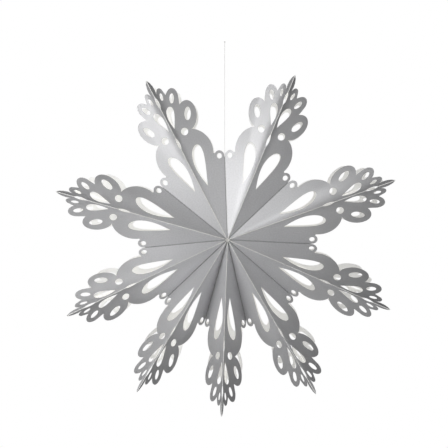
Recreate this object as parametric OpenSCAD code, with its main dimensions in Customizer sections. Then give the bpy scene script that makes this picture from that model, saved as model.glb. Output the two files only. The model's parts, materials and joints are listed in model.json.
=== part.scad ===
// Fold-out paper snowflake star on a thread.
// Eighteen die-cut half sheets stand in a circle. Each has a front and a rear panel, which meet at a valley seam.
// Neighbouring sheets are glued back to back along the seams, and their ridge edges meet in mirror planes,
// so that each of the nine arms is a hollow bellows of four panels.
// The origin is the top of the hanging thread. X runs to the right, Y to the rear and Z up.

/* [Star] */
// Length of a panel along its ridge, from the centre to the tip
panel_len = 300; // [280:5:310]
// Angle of a flat panel between its valley edge and its ridge edge
wedge = 27; // [26.5:0.5:28]
// Thickness of the paper
paper_t = 0.4; // [0.3:0.05:0.5]
// Width of the glued strip along each seam
seam_w = 6; // [5.5:0.5:7]

/* [Hanging] */
// Height of the thread's top above the centre of the star
drop = 332; // [332:1:345]
// Sideways offset of the star's centre from the thread
centre_x = 5; // [4.8:0.1:5.2]
// Diameter of the thread
thread_d = 0.5; // [0.4:0.1:0.6]
// Diameter of the knot at the top of the thread
knot_d = 3; // [2:0.5:4]

/* [Closure] */
// Diameter of the closing magnets
magnet_d = 4; // [3:0.5:4]
// Thickness of a magnet
magnet_t = 1; // [0.8:0.1:1.2]
// Distances of the magnets from the centre
magnet_at = [60, 112];

/* [Hidden] */
ARMS = ["arm1", "arm2", "arm3", "arm4", "arm5", "arm6", "arm7", "arm8", "arm9"];

// Seam directions in degrees from +X towards +Z. The first and last are the two sides of the closure.
// The lower arms are squeezed by the star's weight, and the upper ones stand wider open.
SEAMS = [92, 43.5, -2.8, -41, -77.2, -105.6, -136.4, -174.5, -218.9, -268];

inset = 8;              // panels start this far from the centre
fold_gap = 0.5;         // from a seam's mid plane to a panel's fold line
ridge_gap = 1.5;        // a panel stops this far short of its ridge line, so that the closing fan stays free
grow = panel_len / 300; // the pattern below is drawn on a 300 mm panel
steps = 7;              // points in a quarter of an oval
glue_to = 138;          // the glued strips end here, from the centre, on a 300 mm panel
fixed_flap_to = 141;
free_flap_to = 130;
loop_at = 138;          // the thread loop's hole, from the centre
loop_r = 3.2;           // from the loop's middle to its wire's middle
loop_hole_d = 1.6;

// Points on an oval: centre, half sizes, turn of its long axis, and the stretch between two angles
function oval(c, a, b, turn, from, to, n) = [
    for (i = [0 : n]) let (t = from + (to - from) * i / n)
        [c.x + a * cos(t) * cos(turn) - b * sin(t) * sin(turn), c.y + a * cos(t) * sin(turn) + b * sin(t) * cos(turn)]
];
function ring_of(c, a, b, turn = 0) = let (n = 2 * steps) [for (i = [0 : n - 1]) oval(c, a, b, turn, 0, 360, n)[i]];

// A teardrop from its pointed end to its round end, half width b, bowed sideways by bow.
// An oval is pinched by pinch at the pointed end, and plump makes up the width that this takes.
pinch = 1.2;
plump = 1.3;
function teardrop(tip, far, b, bow) = let (d = far - tip, long = norm(d), u = d / long, n = 3 * steps) [
    for (i = [0 : n - 1]) let (
        t = 360 * i / n,
        x = long * (1 - cos(t)) / 2,
        y = bow * sin(180 * x / long) - plump * b * sin(t) * pow(abs(sin(t / 2)), pinch)
    ) [tip.x + u.x * x - u.y * y, tip.y + u.y * x + u.x * y]
];

// A point on the ridge line, at a distance from the centre and a distance in from the edge
function on_ridge(r, inward) = [r * cos(wedge) + inward * sin(wedge), r * sin(wedge) - inward * cos(wedge)];
// Half of a lens, cut into the ridge edge between two distances from the centre
function half_lens(from, to, depth) = [
    for (i = [0 : steps]) on_ridge(from + (to - from) * i / steps, ridge_gap + depth * sin(180 * i / steps))
];

// Outline of one panel: up the valley, round the loop, shoulder and petals, and back down the ridge
OUTLINE = concat(
    [[inset, paper_t], [glue_to, paper_t]],
    oval([142.5, 9.8], 9.2, 9.2, 0, -90, 60, steps),
    oval([148.5, 60.5], 40, 40, 0, -91, -5, steps),
    oval([211, 66], 25, 17.5, 0, 203, 405, 2 * steps),
    oval([236.5, 90.8], 19.3, 11.3, 0, -65, 66, steps),
    oval([241, 109], 15, 7.8, 20, -38, 66, steps),
    [[258, 123.6], on_ridge(299, ridge_gap)],
    half_lens(270, 247, 3),
    half_lens(195, 172, 2.6),
    [on_ridge(inset, ridge_gap)]
);
HOLES = [
    ring_of([142.5, 9.8], 4.7, 4.7),            // loop at the seam
    ring_of([184, 70.5], 6.2, 6.2),             // dot at the waist
    ring_of([214, 64.7], 11.2, 5.6, -3),        // big petal
    ring_of([238.8, 91.2], 8.2, 3.8, -2),       // middle petal
    ring_of([241, 109], 6.3, 2.8, 14),          // small petal
    teardrop([188, 88], [225, 95.5], 7.4, 1.5), // between the petals and the ridge
    teardrop([93, 32.5], [162, 51], 11, 3)      // long drop
];

module flat_panel() {
    linear_extrude(paper_t) scale(grow) difference() {
        polygon(OUTLINE);
        for (h = HOLES) polygon(h);
    }
}

// How far a panel turns out of the star's plane about its seam, for an arm that opens by 2 * half
function turn_out(half) = acos(tan(half) / tan(wedge));

// Puts its children, drawn with +X along the seam, +Y across it and +Z to the front, at a seam
module at_seam(angle) {
    translate([centre_x, 0, -drop]) rotate([0, -angle, 0]) rotate([90, 0, 0]) children();
}

// One panel of an arm. Hand is 1 for the panel on the arm's left seam, and -1 for the one on its right seam.
module arm_panel(arm, hand, front) {
    left = SEAMS[arm];
    right = SEAMS[arm + 1];
    v = turn_out((left - right) / 2);
    mirror([0, front ? 0 : 1, 0])
        at_seam(hand > 0 ? left : right)
            mirror([0, hand > 0 ? 1 : 0, 0])
                translate([0, fold_gap, seam_w / 2])
                    rotate([v, 0, 0])
                        flat_panel();
}

// The strip where a sheet lies against the next one, on one side of a seam's mid plane
module glue_strip(to, side) {
    translate([inset, side > 0 ? 0 : -paper_t, -seam_w / 2]) cube([to - inset, paper_t, seam_w]);
}

module glue_seam(n) {
    at_seam(SEAMS[n]) {
        glue_strip(glue_to * grow, 1);
        glue_strip(glue_to * grow, -1);
    }
}

// The two outer sheets end in flaps, which magnets hold together. The fixed flap carries the thread.
module closure_flap_fixed() {
    color("whitesmoke") at_seam(SEAMS[0]) difference() {
        glue_strip(fixed_flap_to * grow, -1);
        translate([loop_at * grow, 0, 0]) rotate([90, 0, 0])
            cylinder(d = loop_hole_d, h = 4 * paper_t, center = true, $fn = 32);
    }
}

module closure_flap_free() {
    color("whitesmoke") at_seam(SEAMS[0]) glue_strip(free_flap_to * grow, 1);
}

module magnets(side) {
    color("silver") at_seam(SEAMS[0]) for (r = magnet_at)
        translate([r * grow, side * (paper_t + magnet_t / 2), 0]) rotate([90, 0, 0])
            cylinder(d = magnet_d, h = magnet_t, center = true, $fn = 40);
}

// Short pin of waxed thread that the inner corners of all the sheets are drawn in to
module centre_binding() {
    color("whitesmoke") translate([centre_x, 0, -drop]) rotate([90, 0, 0])
        cylinder(r = inset - 1, h = seam_w - 2, center = true, $fn = 48);
}

// The loop goes through the fixed flap and lies in the star's plane
module thread_loop() {
    color("white") at_seam(SEAMS[0]) translate([loop_at * grow + loop_r, 0, 0])
        rotate_extrude($fn = 48) translate([loop_r, 0]) circle(d = thread_d, $fn = 16);
}

// Height at which the thread just reaches the top of the loop
thread_end = (loop_at * grow + loop_r) * sin(SEAMS[0]) + loop_r + thread_d / 2 + 0.04 - drop;

// Route of the thread, from its top to the loop
ROUTE = [
    [0, 0, 0], [0, 0, -12], [0, 0, -24], [0, 0, -36], [0, 0, -48], [0, 0, -60], [0, 0, -72], [0, 0, -84],
    [0, 0, -96], [0, 0, -108], [0, 0, -120], [0, 0, -132], [0, 0, -144], [0, 0, -156], [0, 0, -168], [0, 0, thread_end]
];
SIDES = 8;

module hanging_thread() {
    n = len(ROUTE);
    color("white") polyhedron(
        points = [for (p = ROUTE) for (i = [0 : SIDES - 1]) let (t = 360 * i / SIDES) p + thread_d / 2 * [cos(t), sin(t), 0]],
        faces = concat(
            [[for (i = [0 : SIDES - 1]) i]],
            [for (r = [0 : n - 2]) for (i = [0 : SIDES - 1]) let (j = (i + 1) % SIDES)
                [r * SIDES + i, (r + 1) * SIDES + i, (r + 1) * SIDES + j, r * SIDES + j]],
            [[for (i = [SIDES - 1 : -1 : 0]) (n - 1) * SIDES + i]]
        )
    );
}

module hanging_knot() {
    color("silver") translate([0, 0, knot_d / 2]) sphere(d = knot_d, $fn = 32);
}

for (a = [0 : 8]) for (front = [true, false]) for (hand = [1, -1]) {
    name = str(ARMS[a], front ? "_front" : "_rear", hand > 0 ? "_left" : "_right");
    color(front ? "silver" : "gainsboro") arm_panel(a, hand, front);
}
for (n = [1 : 8]) color("whitesmoke") glue_seam(n);
closure_flap_fixed();
closure_flap_free();
magnets(-1);  // magnets_fixed
magnets(1);  // magnets_free
centre_binding();
thread_loop();
hanging_thread();
hanging_knot();
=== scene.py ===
import json
import math

import bmesh
import bpy
from mathutils import Matrix, Vector

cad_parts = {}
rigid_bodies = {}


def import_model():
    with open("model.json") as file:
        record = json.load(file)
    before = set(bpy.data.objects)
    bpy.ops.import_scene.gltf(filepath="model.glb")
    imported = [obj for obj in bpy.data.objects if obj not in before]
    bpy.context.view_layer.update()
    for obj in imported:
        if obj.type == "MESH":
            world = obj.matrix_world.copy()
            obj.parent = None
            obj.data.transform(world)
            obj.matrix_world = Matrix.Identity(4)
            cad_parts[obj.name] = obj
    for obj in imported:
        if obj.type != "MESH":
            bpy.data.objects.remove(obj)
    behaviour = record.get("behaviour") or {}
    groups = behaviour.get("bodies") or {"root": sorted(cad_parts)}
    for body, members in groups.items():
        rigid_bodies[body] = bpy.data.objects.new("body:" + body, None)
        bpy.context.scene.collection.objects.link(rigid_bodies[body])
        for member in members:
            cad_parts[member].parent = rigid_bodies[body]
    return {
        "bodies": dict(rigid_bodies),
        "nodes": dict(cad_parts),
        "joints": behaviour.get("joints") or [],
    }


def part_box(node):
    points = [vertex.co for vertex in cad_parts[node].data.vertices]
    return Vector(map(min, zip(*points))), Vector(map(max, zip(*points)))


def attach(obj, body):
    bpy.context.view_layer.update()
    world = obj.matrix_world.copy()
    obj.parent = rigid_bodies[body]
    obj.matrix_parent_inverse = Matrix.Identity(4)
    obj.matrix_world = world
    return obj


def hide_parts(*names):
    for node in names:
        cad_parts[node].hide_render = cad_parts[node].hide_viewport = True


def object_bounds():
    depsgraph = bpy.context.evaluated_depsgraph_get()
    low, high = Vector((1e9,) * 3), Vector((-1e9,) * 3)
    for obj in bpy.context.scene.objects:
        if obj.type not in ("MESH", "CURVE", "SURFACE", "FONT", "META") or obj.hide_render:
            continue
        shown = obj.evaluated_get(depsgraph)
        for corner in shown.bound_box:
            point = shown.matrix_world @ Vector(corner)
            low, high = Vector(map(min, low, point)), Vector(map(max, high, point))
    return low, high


mm = 0.001

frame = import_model()
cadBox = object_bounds()
joints = {joint["name"]: joint for joint in frame["joints"]}
scene = bpy.context.scene
starCentre = Vector(joints["fan_fold"]["pos_m"])


cameraSetup = {
    "place": (0.0412, -1.685, 0.105),   # from the star's centre
    "target": (-0.0061, 0.0, 0.0266),   # from the star's centre
    "lens": 79.87,
    "sensor": 36.0,
    "seesTo": 50,
}


def makeCamera():
    data = bpy.data.cameras.new("camera")
    data.lens = cameraSetup["lens"]
    data.sensor_width = cameraSetup["sensor"]
    data.clip_end = cameraSetup["seesTo"]
    camera = bpy.data.objects.new("camera", data)
    scene.collection.objects.link(camera)
    camera.location = starCentre + Vector(cameraSetup["place"])
    view = starCentre + Vector(cameraSetup["target"]) - camera.location
    camera.rotation_euler = view.to_track_quat("-Z", "Y").to_euler()
    scene.camera = camera


makeCamera()
print("camera placed")


def newGroup(name, inputs, outputs):
    group = bpy.data.node_groups.new(name, "ShaderNodeTree")
    for label, kind, value in inputs:
        socket = group.interface.new_socket(name=label, in_out="INPUT", socket_type=kind)
        socket.default_value = value
    for label, kind in outputs:
        group.interface.new_socket(name=label, in_out="OUTPUT", socket_type=kind)
    return group, group.nodes.new("NodeGroupInput"), group.nodes.new("NodeGroupOutput")


def addNode(tree, kind, **settings):
    node = tree.nodes.new(kind)
    for key, value in settings.items():
        setattr(node, key, value)
    return node


def link(tree, source, target):
    tree.links.new(source, target)


noiseLook = {
    "cloudDetail": 4,
    "fibreDetail": 3,
    "fibreDistortion": 1.5,
    "speckScale": 420,
    "speckDetail": 2,
    "wearScale": 260,
    "wearDetail": 5,
}


def makeGrainGroup():
    # felted paper: soft cloudy shade with small specks, and a height of fine fibres
    group, into, out = newGroup(
        "paperGrain",
        [("Vector", "NodeSocketVector", (0, 0, 0)), ("Cloud Scale", "NodeSocketFloat", 30.0),
         ("Fibre Scale", "NodeSocketFloat", 900.0), ("Contrast", "NodeSocketFloat", 0.1),
         ("Speckle", "NodeSocketFloat", 0.0)],
        [("Shade", "NodeSocketFloat"), ("Height", "NodeSocketFloat")],
    )
    cloud = addNode(group, "ShaderNodeTexNoise")
    cloud.inputs["Detail"].default_value = noiseLook["cloudDetail"]
    fibre = addNode(group, "ShaderNodeTexNoise")
    fibre.inputs["Detail"].default_value = noiseLook["fibreDetail"]
    fibre.inputs["Distortion"].default_value = noiseLook["fibreDistortion"]
    spread = addNode(group, "ShaderNodeMapRange")
    negative = addNode(group, "ShaderNodeMath", operation="MULTIPLY")
    negative.inputs[1].default_value = -1.0
    speck = addNode(group, "ShaderNodeTexNoise")
    speck.inputs["Scale"].default_value = noiseLook["speckScale"]
    speck.inputs["Detail"].default_value = noiseLook["speckDetail"]
    aboutZero = addNode(group, "ShaderNodeMath", operation="SUBTRACT")
    aboutZero.inputs[1].default_value = 0.5
    grit = addNode(group, "ShaderNodeMath", operation="MULTIPLY")
    total = addNode(group, "ShaderNodeMath", operation="ADD")
    link(group, into.outputs["Vector"], cloud.inputs["Vector"])
    link(group, into.outputs["Vector"], fibre.inputs["Vector"])
    link(group, into.outputs["Cloud Scale"], cloud.inputs["Scale"])
    link(group, into.outputs["Fibre Scale"], fibre.inputs["Scale"])
    link(group, into.outputs["Contrast"], negative.inputs[0])
    link(group, cloud.outputs["Fac"], spread.inputs["Value"])
    link(group, negative.outputs[0], spread.inputs["To Min"])
    link(group, into.outputs["Contrast"], spread.inputs["To Max"])
    link(group, into.outputs["Vector"], speck.inputs["Vector"])
    link(group, speck.outputs["Fac"], aboutZero.inputs[0])
    link(group, aboutZero.outputs[0], grit.inputs[0])
    link(group, into.outputs["Speckle"], grit.inputs[1])
    link(group, spread.outputs["Result"], total.inputs[0])
    link(group, grit.outputs[0], total.inputs[1])
    link(group, total.outputs[0], out.inputs["Shade"])
    link(group, fibre.outputs["Fac"], out.inputs["Height"])
    return group


def makeFoldWearAndShadeGroup():
    # a mask that is 1 on a line through the sheet's corner and fades out beside it, broken up by noise; it
    # places the pale ridge line, partly wear and partly painted highlight, and the painted shade along the
    # valley fold
    group, into, out = newGroup(
        "foldWearAndShade",
        [("Vector", "NodeSocketVector", (0, 0, 0)), ("Line Normal", "NodeSocketVector", (0, 1, 0)),
         ("Width", "NodeSocketFloat", 0.004), ("Breakup", "NodeSocketFloat", 0.5)],
        [("Mask", "NodeSocketFloat")],
    )
    distance = addNode(group, "ShaderNodeVectorMath", operation="DOT_PRODUCT")
    size = addNode(group, "ShaderNodeMath", operation="ABSOLUTE")
    share = addNode(group, "ShaderNodeMath", operation="DIVIDE")
    fade = addNode(group, "ShaderNodeMath", operation="SUBTRACT", use_clamp=True)
    fade.inputs[0].default_value = 1.0
    speck = addNode(group, "ShaderNodeTexNoise")
    speck.inputs["Scale"].default_value = noiseLook["wearScale"]
    speck.inputs["Detail"].default_value = noiseLook["wearDetail"]
    weaken = addNode(group, "ShaderNodeMath", operation="MULTIPLY")
    keep = addNode(group, "ShaderNodeMath", operation="SUBTRACT", use_clamp=True)
    keep.inputs[0].default_value = 1.0
    mask = addNode(group, "ShaderNodeMath", operation="MULTIPLY")
    link(group, into.outputs["Vector"], distance.inputs[0])
    link(group, into.outputs["Line Normal"], distance.inputs[1])
    link(group, distance.outputs["Value"], size.inputs[0])
    link(group, size.outputs[0], share.inputs[0])
    link(group, into.outputs["Width"], share.inputs[1])
    link(group, share.outputs[0], fade.inputs[1])
    link(group, into.outputs["Vector"], speck.inputs["Vector"])
    link(group, speck.outputs["Fac"], weaken.inputs[0])
    link(group, into.outputs["Breakup"], weaken.inputs[1])
    link(group, weaken.outputs[0], keep.inputs[1])
    link(group, fade.outputs[0], mask.inputs[0])
    link(group, keep.outputs[0], mask.inputs[1])
    link(group, mask.outputs[0], out.inputs["Mask"])
    return group


grainGroup = makeGrainGroup()
foldWearAndShadeGroup = makeFoldWearAndShadeGroup()


def useGroup(tree, group, **values):
    node = addNode(tree, "ShaderNodeGroup", node_tree=group)
    for label, value in values.items():
        node.inputs[label.replace("_", " ")].default_value = value
    return node


def useGrain(tree, look):
    return useGroup(
        tree, grainGroup, Cloud_Scale=look["cloud"], Fibre_Scale=look["fibre"], Contrast=look["contrast"],
        Speckle=look["speckle"],
    )


def newMaterial(name):
    material = bpy.data.materials.new(name)
    material.use_nodes = True
    tree = material.node_tree
    return material, tree, tree.nodes["Principled BSDF"]


def shadeInto(tree, colour, shade, socket):
    # colour, lightened and darkened by a shade about zero
    value = addNode(tree, "ShaderNodeMath", operation="ADD")
    value.inputs[0].default_value = 1.0
    hue = addNode(tree, "ShaderNodeHueSaturation")
    hue.inputs["Color"].default_value = colour
    link(tree, shade, value.inputs[1])
    link(tree, value.outputs[0], hue.inputs["Value"])
    if socket:
        link(tree, hue.outputs["Color"], socket)
    return hue.outputs["Color"]


def bumpInto(tree, height, look, shader):
    bump = addNode(tree, "ShaderNodeBump")
    bump.inputs["Strength"].default_value = look["bump"]
    bump.inputs["Distance"].default_value = look["bumpDepth"]
    link(tree, height, bump.inputs["Height"])
    link(tree, bump.outputs["Normal"], shader.inputs["Normal"])


silverPaper = {
    "colour": (0.66, 0.66, 0.672, 1),
    "outer": (0.46, 0.46, 0.468, 1),   # painted shade: the silver is darkened towards this at the tips, standing in for light falling off away from the centre
    "paintedShadeFrom": 0.13,                 # metres from the centre
    "paintedShadeTo": 0.3,
    # a paler line along each ridge fold: partly wear of the silver, partly a painted highlight of the fold's
    # edge
    "wornAndLitRidge": (0.86, 0.86, 0.865, 1),
    # a dark line along each valley fold: partly the crease line itself and partly painted shade that falls in
    # the fold
    "paintedFoldShade": (0.19, 0.19, 0.197, 1),
    "metallic": 0.38,
    "roughness": 0.42,
    "cloud": 26.0,
    "fibre": 700.0,
    "contrast": 0.04,
    "speckle": 0.34,
    "bump": 0.12,
    "bumpDepth": 0.0004,
    "ridgeLineWidth": 0.0014,
    "ridgeBreakup": 0.5,
    "valleyShadeWidth": 0.0015,
    "valleyBreakup": 0.3,
}
whitePaper = {
    "colour": (0.9, 0.895, 0.87, 1),
    "roughness": 0.85,
    "cloud": 22.0,
    "fibre": 600.0,
    "contrast": 0.03,
    "speckle": 0.0,
    "bump": 0.15,
    "bumpDepth": 0.0004,
    "glow": 0.2,                       # stands in for light that comes through the sheet
    "glowColour": (1, 0.995, 0.97, 1),
}
cutEdge = whitePaper | {
    "colour": (0.62, 0.618, 0.61, 1),
    "roughness": 0.9,
    "cloud": 90.0,
    "fibre": 1500.0,
    "contrast": 0.06,
    "glow": 0.0,
}
nickel = {
    "colour": (0.74, 0.73, 0.71, 1),
    "roughness": 0.22,
    "cloud": 260.0,
    "fibre": 3000.0,
    "contrast": 0.08,
    "speckle": 0.0,
    "bump": 0.05,
    "bumpDepth": 0.0001,
}
waxedThread = {
    "colour": (0.78, 0.77, 0.75, 1),
    "roughness": 0.6,
    "cloud": 160.0,
    "fibre": 4000.0,
    "contrast": 0.12,
    "speckle": 0.0,
    "bump": 0.4,
    "bumpDepth": 0.0001,
    "plies": 900.0,
}


def makeSilverPaper(wedge):
    material, tree, shader = newMaterial("silverPaper")
    sheet = addNode(tree, "ShaderNodeUVMap", uv_map="sheet")
    grain = useGrain(tree, silverPaper)
    # the pale ridge line: partly wear of the silver and partly a painted highlight
    ridge = useGroup(
        tree, foldWearAndShadeGroup, Line_Normal=(math.sin(wedge), -math.cos(wedge), 0),
        Width=silverPaper["ridgeLineWidth"], Breakup=silverPaper["ridgeBreakup"],
    )
    # the dark valley line: partly crease and partly painted shade in the fold
    valley = useGroup(
        tree, foldWearAndShadeGroup, Line_Normal=(0, 1, 0),
        Width=silverPaper["valleyShadeWidth"], Breakup=silverPaper["valleyBreakup"],
    )
    for group in (grain, ridge, valley):
        link(tree, sheet.outputs["UV"], group.inputs["Vector"])
    # painted shade: the silver darkens with distance from the centre, out to the tips
    reach = addNode(tree, "ShaderNodeVectorMath", operation="LENGTH")
    outer = addNode(tree, "ShaderNodeMapRange")
    outer.inputs["From Min"].default_value = silverPaper["paintedShadeFrom"]
    outer.inputs["From Max"].default_value = silverPaper["paintedShadeTo"]
    link(tree, sheet.outputs["UV"], reach.inputs[0])
    link(tree, reach.outputs["Value"], outer.inputs["Value"])
    colour = shadeInto(tree, silverPaper["colour"], grain.outputs["Shade"], None)
    masks = (   # each colour is laid over the ones before it: painted shade at the tips, the pale ridge line, painted shade in the valley fold
        (outer.outputs["Result"], "outer"),
        (ridge.outputs["Mask"], "wornAndLitRidge"),
        (valley.outputs["Mask"], "paintedFoldShade"),
    )
    for mask, shade in masks:
        mix = addNode(tree, "ShaderNodeMix", data_type="RGBA")
        mix.inputs[7].default_value = silverPaper[shade]
        link(tree, mask, mix.inputs[0])
        link(tree, colour, mix.inputs[6])
        colour = mix.outputs[2]
    link(tree, colour, shader.inputs["Base Color"])
    rough = addNode(tree, "ShaderNodeMath", operation="ADD")
    rough.inputs[1].default_value = silverPaper["roughness"]
    link(tree, grain.outputs["Shade"], rough.inputs[0])
    link(tree, rough.outputs[0], shader.inputs["Roughness"])
    shader.inputs["Metallic"].default_value = silverPaper["metallic"]
    bumpInto(tree, grain.outputs["Height"], silverPaper, shader)
    return material


def makePlainPaper(name, look):
    material, tree, shader = newMaterial(name)
    place = addNode(tree, "ShaderNodeTexCoord")
    grain = useGrain(tree, look)
    link(tree, place.outputs["Object"], grain.inputs["Vector"])
    shadeInto(tree, look["colour"], grain.outputs["Shade"], shader.inputs["Base Color"])
    shader.inputs["Roughness"].default_value = look["roughness"]
    shader.inputs["Emission Color"].default_value = look["glowColour"]
    shader.inputs["Emission Strength"].default_value = look["glow"]
    bumpInto(tree, grain.outputs["Height"], look, shader)
    return material


def makeNickel():
    material, tree, shader = newMaterial("nickel")
    place = addNode(tree, "ShaderNodeTexCoord")
    grain = useGrain(tree, nickel)
    link(tree, place.outputs["Object"], grain.inputs["Vector"])
    shadeInto(tree, nickel["colour"], grain.outputs["Shade"], shader.inputs["Base Color"])
    shader.inputs["Roughness"].default_value = nickel["roughness"]
    shader.inputs["Metallic"].default_value = 1.0
    bumpInto(tree, grain.outputs["Height"], nickel, shader)
    return material


def makeThreadMaterial():
    material, tree, shader = newMaterial("waxedThread")
    place = addNode(tree, "ShaderNodeTexCoord")
    twist = addNode(tree, "ShaderNodeTexWave", bands_direction="DIAGONAL")
    twist.inputs["Scale"].default_value = waxedThread["plies"]
    twist.inputs["Distortion"].default_value = 1.0
    grain = useGrain(tree, waxedThread)
    link(tree, place.outputs["Object"], twist.inputs["Vector"])
    link(tree, place.outputs["Object"], grain.inputs["Vector"])
    shadeInto(tree, waxedThread["colour"], grain.outputs["Shade"], shader.inputs["Base Color"])
    shader.inputs["Roughness"].default_value = waxedThread["roughness"]
    bumpInto(tree, twist.outputs["Fac"], waxedThread, shader)
    return material


# Sizes are in millimetres on the flat sheet: x runs out along the valley and y across towards the ridge
panelCut = {
    "wedge": math.radians(27),
    "ridgeLength": 300.0,
    "innerCorner": 3.0,              # the sheet starts this far from the centre
    "ridgeGap": 0.3,
    "tipBlunt": 0.5,                 # taken off the ridge's sharp end
    "valleyEnd": 139.0,
    "loop": {"centre": (142.5, 9.8), "size": (9.2, 9.2), "turn": 0, "sweep": (-90, 60), "steps": 18},
    "shoulder": {"centre": (148.5, 60.5), "size": (40, 40), "turn": 0, "sweep": (-91, -5), "steps": 22},
    "bigPetal": {"centre": (211, 66), "size": (25, 17.5), "turn": 0, "sweep": (203, 405), "steps": 34},
    "middlePetal": {
        "centre": (236.5, 90.8), "size": (19.3, 11.3), "turn": 0, "sweep": (-65, 66), "steps": 20,
    },
    "smallPetal": {"centre": (241, 109), "size": (15, 7.8), "turn": 20, "sweep": (-38, 66), "steps": 16},
    "spike": [(252.5, 120.4), (258.5, 124.2), (263.6, 129.2)],
    "lenses": [{"from": 270, "to": 247, "depth": 3.4}, {"from": 195, "to": 172, "depth": 3.0}],
    "lensSteps": 12,
    "holeSteps": 28,
    "dropSteps": 44,
    "dropPinch": 1.2,                # draws a drop in towards its pointed end
    "dropPlump": 1.3,                # makes up the width that the pinch takes
    "planeTolerance": 0.0001,
}
panelHoles = {
    "loopEye": {"centre": (142.5, 9.8), "size": (4.7, 4.7), "turn": 0},
    "waistDot": {"centre": (184, 70.5), "size": (6.2, 6.2), "turn": 0},
    "bigEye": {"centre": (214, 64.7), "size": (11.2, 5.6), "turn": -3},
    "middleEye": {"centre": (238.8, 91.2), "size": (8.2, 3.8), "turn": -2},
    "smallEye": {"centre": (241, 109), "size": (6.3, 2.8), "turn": 14},
}
panelDrops = {
    "innerDrop": {"tip": (188, 88), "far": (225, 95.5), "half": 7.4, "bow": 1.5},
    "longDrop": {"tip": (93, 32.5), "far": (162, 51), "half": 11, "bow": 3},
}
panelBend = {
    "rayStep": math.radians(1.5),
    "crossStep": 9.0,
    "ridgeBand": math.radians(11),   # the part beside the ridge that bends
    "ridgeSlope": 0.55,              # extra slope at the ridge, out at the tip
    "flatTo": 60.0,                  # the sheet is flat this near the centre
    "fullFrom": 220.0,
    "nearShare": 0.35,               # of the slope, in the flat part near the centre
    "paper": 0.35,                   # thickness
    "sharpFrom": math.radians(40),
    "ridgeLip": 0.6,                 # the sheets' glued edges stand up this far
    "ridgeRoom": 0.04,               # keeps the ridge free when the fan is folded
    "valleyGap": 0.06,               # from a fold to the seam's middle
    "foldRound": 0.2,
}


def arcEdges(mesh, arc):
    # a spun arc, squashed to an oval and put in its place
    start, end = (math.radians(angle) for angle in arc["sweep"])
    count = len(mesh.verts)
    first = mesh.verts.new((math.cos(start), math.sin(start), 0))
    spun = bmesh.ops.spin(
        mesh, geom=[first], cent=(0, 0, 0), axis=(0, 0, 1), angle=end - start, steps=arc["steps"],
        use_merge=False,
    )
    last = [item for item in spun["geom_last"] if isinstance(item, bmesh.types.BMVert)][0]
    placeVerts(mesh, list(mesh.verts)[count:], arc)
    return first, last


def placeVerts(mesh, verts, arc):
    turn = Matrix.Rotation(math.radians(arc["turn"]), 3, "Z")
    bmesh.ops.scale(mesh, verts=verts, vec=(*arc["size"], 1))
    bmesh.ops.rotate(mesh, verts=verts, cent=(0, 0, 0), matrix=turn)
    bmesh.ops.translate(mesh, verts=verts, vec=(*arc["centre"], 0))


def ridgePoint(distance, inward):
    wedge = panelCut["wedge"]
    return (
        distance * math.cos(wedge) + inward * math.sin(wedge),
        distance * math.sin(wedge) - inward * math.cos(wedge),
        0,
    )


def lensArc(lens):
    # the circle whose arc cuts half a lens out of the ridge edge
    half = (lens["from"] - lens["to"]) / 2
    radius = (half * half + lens["depth"] ** 2) / (2 * lens["depth"])
    spread = math.degrees(math.asin(half / radius))
    centre = ridgePoint((lens["from"] + lens["to"]) / 2, panelCut["ridgeGap"] + lens["depth"] - radius)
    return {
        "centre": centre[:2], "size": (radius, radius), "turn": math.degrees(panelCut["wedge"]),
        "sweep": (-90 + spread, -90 - spread), "steps": panelCut["lensSteps"],
    }


def addOutline(mesh):
    stretches = [panelCut[name] for name in ("loop", "shoulder", "bigPetal", "middlePetal", "smallPetal")]
    inner = mesh.verts.new((panelCut["innerCorner"], 0, 0))
    outer = mesh.verts.new((panelCut["valleyEnd"], 0, 0))
    mesh.edges.new((inner, outer))
    last = outer
    for arc in stretches:
        first, end = arcEdges(mesh, arc)
        mesh.edges.new((last, first))
        last = end
    tip = ridgePoint(panelCut["ridgeLength"] - panelCut["tipBlunt"], panelCut["ridgeGap"])
    for point in panelCut["spike"] + [tip]:
        vert = mesh.verts.new((point[0], point[1], 0))
        mesh.edges.new((last, vert))
        last = vert
    for lens in panelCut["lenses"]:
        first, end = arcEdges(mesh, lensArc(lens))
        mesh.edges.new((last, first))
        last = end
    corner = mesh.verts.new(ridgePoint(panelCut["innerCorner"], panelCut["ridgeGap"]))
    mesh.edges.new((last, corner))
    mesh.edges.new((corner, inner))


def addHoles(mesh):
    for hole in panelHoles.values():
        ring = bmesh.ops.create_circle(mesh, cap_ends=False, radius=1, segments=panelCut["holeSteps"])
        placeVerts(mesh, ring["verts"], hole)
    for drop in panelDrops.values():
        ring = bmesh.ops.create_circle(mesh, cap_ends=False, radius=1, segments=panelCut["dropSteps"])
        tip, far = Vector(drop["tip"]), Vector(drop["far"])
        long = (far - tip).length
        for vert in ring["verts"]:
            angle = math.atan2(vert.co.y, -vert.co.x)
            along = long * (1 - math.cos(angle)) / 2
            pinch = abs(math.sin(angle / 2)) ** panelCut["dropPinch"]
            bow = drop["bow"] * math.sin(math.pi * along / long)
            vert.co.x = along
            vert.co.y = -panelCut["dropPlump"] * drop["half"] * math.sin(angle) * pinch + bow
        heading = math.degrees(math.atan2(far.y - tip.y, far.x - tip.x))
        placeVerts(mesh, ring["verts"], {"size": (1, 1), "turn": heading, "centre": drop["tip"]})


def bisectAll(mesh, origin, normal, clearOuter=False):
    everything = mesh.verts[:] + mesh.edges[:] + mesh.faces[:]
    return bmesh.ops.bisect_plane(
        mesh, geom=everything, dist=panelCut["planeTolerance"], plane_co=origin, plane_no=normal,
        clear_outer=clearOuter,
    )


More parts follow.
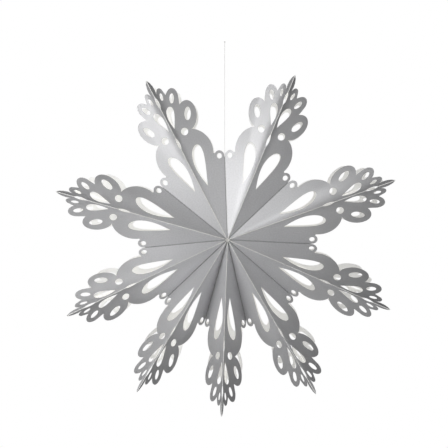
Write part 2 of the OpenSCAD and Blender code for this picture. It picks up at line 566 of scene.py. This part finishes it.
def bendDepth(point, lean, cutBack):
    # beside the ridge the sheet is steeper, so that it dips below the flat wedge; less so in a narrow arm
    reach = math.hypot(point.x, point.y)
    away = panelCut["wedge"] - math.atan2(point.y, point.x) - cutBack / reach
    share = min(max(away / panelBend["ridgeBand"], 0), 1)
    ramp = min(max((reach - panelBend["flatTo"]) / (panelBend["fullFrom"] - panelBend["flatTo"]), 0), 1)
    eased = ramp * ramp * (3 - 2 * ramp)
    slope = panelBend["ridgeSlope"] * lean * (panelBend["nearShare"] + (1 - panelBend["nearShare"]) * eased)
    return -reach * slope * panelBend["ridgeBand"] * share * (1 - share) ** 2


def makePanelCut():
    mesh = bmesh.new()
    addOutline(mesh)
    addHoles(mesh)
    bmesh.ops.triangle_fill(mesh, use_beauty=True, use_dissolve=False, edges=mesh.edges[:])
    wedge, step = panelCut["wedge"], panelBend["rayStep"]
    for ray in range(1, int(wedge / step)):
        bisectAll(mesh, (0, 0, 0), (-math.sin(ray * step), math.cos(ray * step), 0))
    middleX, middleY = math.cos(wedge / 2), math.sin(wedge / 2)
    for line in range(2, int(panelCut["ridgeLength"] / panelBend["crossStep"])):
        reach = line * panelBend["crossStep"]
        bisectAll(mesh, (reach * middleX, reach * middleY, 0), (middleX, middleY, 0))
    bmesh.ops.recalc_face_normals(mesh, faces=mesh.faces)
    if sum(face.normal.z for face in mesh.faces) < 0:
        bmesh.ops.reverse_faces(mesh, faces=mesh.faces)
    layer = mesh.loops.layers.uv.new("sheet")
    for face in mesh.faces:
        face.smooth = True
        for loop in face.loops:
            loop[layer].uv = (loop.vert.co.x * mm, loop.vert.co.y * mm)
    cut = bpy.data.meshes.new("panelCut")
    mesh.to_mesh(cut)
    mesh.free()
    return cut


def panelTurn(half):
    # how far a panel turns out of the star's plane, in an arm that opens by twice the half angle
    return math.acos(math.tan(half) / math.tan(panelCut["wedge"]))


def ridgeLean(half):
    # 1 where the sheet meets the arm's middle plane squarely, and less where it meets it at a slant
    wedge = panelCut["wedge"]
    return math.sin(wedge) * math.sin(half) + math.cos(wedge) * math.cos(panelTurn(half)) * math.cos(half)


def panelPlace(name):
    # where the panel stands and how it turns, how far its ridge is cut back, and how its ridge lip leans
    arm, side, hand = name.split("_")
    hinge = joints[name + "_fold"]
    other = joints["_".join((arm, side, "left" if hand == "right" else "right")) + "_fold"]
    sign = (1 if hand == "right" else -1) * (1 if side == "front" else -1)
    seam, otherSeam = Vector(hinge["axis"]) * sign, Vector(other["axis"]) * -sign
    half = seam.angle(otherSeam) / 2
    wedge = panelCut["wedge"]
    turnOut = panelTurn(half)
    outward = Vector((0, -1 if side == "front" else 1, 0))
    across = (otherSeam - seam * seam.dot(otherSeam)).normalized()
    rise = across * math.cos(turnOut) + outward * math.sin(turnOut)
    face = outward * math.cos(turnOut) - across * math.sin(turnOut)
    foldGap = abs(across.dot(Vector(hinge["pos_m"]) - starCentre)) / mm
    corner = Vector(hinge["pos_m"]) - across * (foldGap - panelBend["valleyGap"]) * mm
    lean = ridgeLean(half)
    foldedHalf = half * (1 - joints["fan_fold"]["range_deg"][1] / 360)
    foldedLean = ridgeLean(foldedHalf)
    room = panelBend["paper"] + panelBend["ridgeRoom"] + panelBend["valleyGap"] * math.cos(half)
    return {
        "corner": corner,
        "turned": Matrix((seam, rise, face)).transposed(),
        "outward": outward,
        "cutBack": room / foldedLean,
        "lean": lean,
        "lipTilt": math.acos(foldedLean) - math.acos(lean),   # upright when the fan is folded
    }


def addRidgeLip(mesh, ridgeEdges, place):
    turned, outward = place["turned"], place["outward"]
    ridge = (turned @ Vector(ridgePoint(1, 0))).normalized()
    crest = (outward - ridge * ridge.dot(outward)).normalized()
    away = ridge.cross(crest)
    if away.dot(turned.col[1]) > 0:
        away.negate()
    crest = crest * math.cos(place["lipTilt"]) + away * math.sin(place["lipTilt"])
    lip = bmesh.ops.extrude_edge_only(mesh, edges=ridgeEdges)
    lipVerts = [item for item in lip["geom"] if isinstance(item, bmesh.types.BMVert)]
    bmesh.ops.translate(mesh, vec=crest * panelBend["ridgeLip"] * mm, verts=lipVerts)
    bmesh.ops.bevel(
        mesh, geom=ridgeEdges, offset=panelBend["foldRound"] * mm, segments=2, profile=0.5, affect="EDGES",
        material=-1, clamp_overlap=True,
    )


def makePanel(name, cut, materials):
    place = panelPlace(name)
    wedge = panelCut["wedge"]
    ridgeNormal = Vector((-math.sin(wedge), math.cos(wedge), 0))
    mesh = bmesh.new()
    mesh.from_mesh(cut)
    trimmed = bisectAll(mesh, ridgeNormal * -place["cutBack"], ridgeNormal, clearOuter=True)
    ridgeEdges = [item for item in trimmed["geom_cut"] if isinstance(item, bmesh.types.BMEdge)]
    for vert in mesh.verts:
        vert.co.z = bendDepth(vert.co, place["lean"], place["cutBack"])
    bmesh.ops.scale(mesh, verts=mesh.verts, vec=(mm, mm, mm))
    bmesh.ops.transform(mesh, matrix=place["turned"].to_4x4(), verts=mesh.verts)
    bmesh.ops.translate(mesh, vec=place["corner"], verts=mesh.verts)
    addRidgeLip(mesh, ridgeEdges, place)
    if place["turned"].determinant() < 0:
        bmesh.ops.reverse_faces(mesh, faces=mesh.faces)
    for face in mesh.faces:
        face.smooth = True
    finishPiece(name + "_sheet", mesh, materials, name, [name], panelBend["paper"] * mm)


def thicken(piece, paper):
    # the wall goes inwards, with the white side and the cut edges in their own materials
    wall = piece.modifiers.new("paper", "SOLIDIFY")
    wall.thickness = paper
    wall.offset = -1
    wall.material_offset = 1
    wall.material_offset_rim = 2
    thin = piece.data
    scene.view_layers[0].update()
    piece.data = bpy.data.meshes.new_from_object(piece.evaluated_get(bpy.context.evaluated_depsgraph_get()))
    piece.modifiers.clear()
    bpy.data.meshes.remove(thin)


def finishPiece(name, mesh, materials, body, replaced, paper=0):
    data = bpy.data.meshes.new(name)
    mesh.to_mesh(data)
    mesh.free()
    for material in materials:
        data.materials.append(material)
    piece = bpy.data.objects.new(name, data)
    scene.collection.objects.link(piece)
    if paper:
        thicken(piece, paper)
    piece.data.set_sharp_from_angle(angle=panelBend["sharpFrom"])
    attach(piece, body)
    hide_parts(*replaced)
    return piece


silver = makeSilverPaper(panelCut["wedge"])
white = makePlainPaper("whitePaper", whitePaper)
rim = makePlainPaper("cutEdge", cutEdge)
metal = makeNickel()
thread = makeThreadMaterial()

cut = makePanelCut()
print("panel cut:", len(cut.polygons), "faces")
armBodies = sorted(name for name in frame["bodies"] if name.startswith("arm"))
for name in armBodies:
    makePanel(name, cut, [silver, white, rim])
print("panels made:", len(armBodies))


threadRun = {
    "stops": [0, -12, -24, -36, -48, -60, -72, -84, -96, -108, -120, -132, -144, -156, -168, -187.4],
    "thick": 0.5,
    "bevelSteps": 3,
    "knotWide": 1.05,
    "knotFlat": 0.9,
    "knotSteps": 48,
    "loopWide": 3.2,
    "loopSteps": 40,
}


def curvePiece(name, points, cyclic, body, replaced):
    data = bpy.data.curves.new(name, "CURVE")
    data.dimensions = "3D"
    data.bevel_depth = threadRun["thick"] / 2 * mm
    data.bevel_resolution = threadRun["bevelSteps"]
    spline = data.splines.new("POLY")
    spline.points.add(len(points) - 1)
    for place, point in zip(spline.points, points):
        place.co = (point.x, point.y, point.z, 1)
    spline.use_cyclic_u = cyclic
    spline.use_smooth = True
    piece = bpy.data.objects.new(name, data)
    scene.collection.objects.link(piece)
    data.materials.append(thread)
    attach(piece, body)
    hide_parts(replaced)
    return piece


def nodeMiddle(node):
    low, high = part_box(node)
    return (low + high) / 2


def stepAngles(steps):
    return [2 * math.pi * step / steps for step in range(steps)]


def knotPoints(centre):
    # a pulled-tight overhand knot: the curve below reaches 3 from its middle
    return [
        centre + threadRun["knotWide"] * mm / 3 * Vector((
            math.sin(angle) + 2 * math.sin(2 * angle),
            -math.sin(3 * angle) * threadRun["knotFlat"],
            math.cos(angle) - 2 * math.cos(2 * angle),
        ))
        for angle in stepAngles(threadRun["knotSteps"])
    ]


def ringPoints(centre):
    return [
        centre + threadRun["loopWide"] * mm * Vector((math.cos(angle), 0, math.sin(angle)))
        for angle in stepAngles(threadRun["loopSteps"])
    ]


def makeThread():
    knot = curvePiece("knot", knotPoints(nodeMiddle("hanging_knot")), True, "hanger", "hanging_knot")
    loop = curvePiece("flapLoop", ringPoints(nodeMiddle("thread_loop")), True, "closure_fixed", "thread_loop")
    route = [Vector((0, 0, stop * mm)) for stop in reversed(threadRun["stops"])]
    line = curvePiece("hangingThread", route, False, "thread", "hanging_thread")


makeThread()
print("thread hung")


glueStrip = {
    "thick": 0.35,    # of one sheet
    "depth": 2.7,     # from the mid plane to the front or the rear
    "start": 3.0,
    "end": 138.5,
    "bevel": 0.08,
}


def dressCadNode(name, material):
    node = frame["nodes"][name]
    node.data.materials.clear()
    node.data.materials.append(material)


for name in ("closure_flap_fixed", "closure_flap_free"):
    dressCadNode(name, white)
for name in ("magnets_fixed", "magnets_free"):
    dressCadNode(name, metal)
dressCadNode("centre_binding", thread)


def makeGlueSeam(number):
    # the strip where two sheets are glued back to back, just below the folds on either side
    name = "glue_seam%d" % number
    seam = Vector(joints["arm%d_front_right_fold" % number]["axis"])
    outward = Vector((0, -1, 0))
    side = seam.cross(outward)
    mesh = bmesh.new()
    bmesh.ops.create_cube(mesh, size=1)
    long = glueStrip["end"] - glueStrip["start"]
    size = (long * mm, 2 * glueStrip["thick"] * mm, 2 * glueStrip["depth"] * mm)
    bmesh.ops.scale(mesh, verts=mesh.verts, vec=size)
    bmesh.ops.translate(mesh, verts=mesh.verts, vec=((glueStrip["start"] + long / 2) * mm, 0, 0))
    bisectAll(mesh, (0, 0, 0), (0, 1, 0))
    bmesh.ops.transform(mesh, verts=mesh.verts, matrix=Matrix((seam, side, outward)).transposed().to_4x4())
    bmesh.ops.translate(mesh, verts=mesh.verts, vec=starCentre)
    bmesh.ops.bevel(
        mesh, geom=mesh.edges[:], offset=glueStrip["bevel"] * mm, segments=1, profile=0.5, affect="EDGES",
        material=-1,
    )
    bmesh.ops.recalc_face_normals(mesh, faces=mesh.faces)
    finishPiece("gluedStrip%d" % number, mesh, [white], "seam%d" % number, [name])


for number in range(1, 9):
    makeGlueSeam(number)
print("seams glued")


studio = {
    "floorDrop": 0.62,      # below the lowest tip
    "floorRadius": 30,
    "floorRoughness": 0.9,
    "floor": (0.93, 0.93, 0.93, 1),
    "plain": (1, 1, 1, 1),
    "world": 0.11,
}
lamps = {
    "nearLeft": {"place": (-0.5, -0.45, 0.0), "size": 0.3, "power": 0.98},
    "nearMiddle": {"place": (-0.25, -0.42, 0.0), "size": 0.2, "power": 0.31},
    "nearHigh": {"place": (-0.2, -0.38, 0.25), "size": 0.25, "power": 0.36},
    "upperLeft": {"place": (-0.6, -0.9, 0.45), "size": 0.5, "power": 1.3},
    "highLeft": {"place": (-0.6, -0.7, 1.3), "size": 0.8, "power": 1.3},
    "lowLeft": {"place": (-1.0, -0.9, -0.8), "size": 0.8, "power": 2.1},
    "farRight": {"place": (1.2, -1.0, 0.0), "size": 1.0, "power": 3.2},
    "behindLeft": {"place": (-0.9, 1.3, 0.6), "size": 1.0, "power": 6.0},
    "behindRight": {"place": (1.1, 1.2, 0.3), "size": 1.0, "power": 4.0},
}


def makeLamp(name, setup):
    data = bpy.data.lights.new(name, "AREA")
    data.shape = "SQUARE"
    data.size = setup["size"]
    data.energy = setup["power"]
    lamp = bpy.data.objects.new(name, data)
    scene.collection.objects.link(lamp)
    lamp.location = starCentre + Vector(setup["place"])
    lamp.rotation_euler = (starCentre - lamp.location).to_track_quat("-Z", "Y").to_euler()
    lamp.visible_camera = False


def mixForCamera(tree, cast, seen):
    # the camera sees one shader, and the star is lit by the other
    path = addNode(tree, "ShaderNodeLightPath")
    mix = addNode(tree, "ShaderNodeMixShader")
    link(tree, path.outputs["Is Camera Ray"], mix.inputs["Fac"])
    link(tree, cast, mix.inputs[1])
    link(tree, seen, mix.inputs[2])
    return mix.outputs["Shader"]


def makeWorld():
    world = bpy.data.worlds.new("studio")
    scene.world = world
    world.use_nodes = True
    tree = world.node_tree
    tree.nodes.clear()
    seen, cast = addNode(tree, "ShaderNodeBackground"), addNode(tree, "ShaderNodeBackground")
    for background, strength in ((seen, 1.0), (cast, studio["world"])):
        background.inputs["Color"].default_value = studio["plain"]
        background.inputs["Strength"].default_value = strength
    out = addNode(tree, "ShaderNodeOutputWorld")
    mixed = mixForCamera(tree, cast.outputs["Background"], seen.outputs["Background"])
    link(tree, mixed, out.inputs["Surface"])


def makeFloor():
    # a pale floor, which the camera sees as plain white
    material, tree, shader = newMaterial("paleFloor")
    shader.inputs["Base Color"].default_value = studio["floor"]
    shader.inputs["Roughness"].default_value = studio["floorRoughness"]
    glow = addNode(tree, "ShaderNodeEmission")
    glow.inputs["Color"].default_value = studio["plain"]
    mixed = mixForCamera(tree, shader.outputs["BSDF"], glow.outputs["Emission"])
    link(tree, mixed, tree.nodes["Material Output"].inputs["Surface"])
    mesh = bmesh.new()
    bmesh.ops.create_circle(mesh, cap_ends=True, radius=studio["floorRadius"], segments=64)
    bmesh.ops.translate(mesh, verts=mesh.verts, vec=(0, 0, cadBox[0][2] - studio["floorDrop"]))
    data = bpy.data.meshes.new("floor")
    mesh.to_mesh(data)
    mesh.free()
    data.materials.append(material)
    floor = bpy.data.objects.new("floor", data)
    scene.collection.objects.link(floor)


makeWorld()
makeFloor()
for name, setup in lamps.items():
    makeLamp(name, setup)
scene.view_settings.view_transform = "Standard"
print("studio lit")
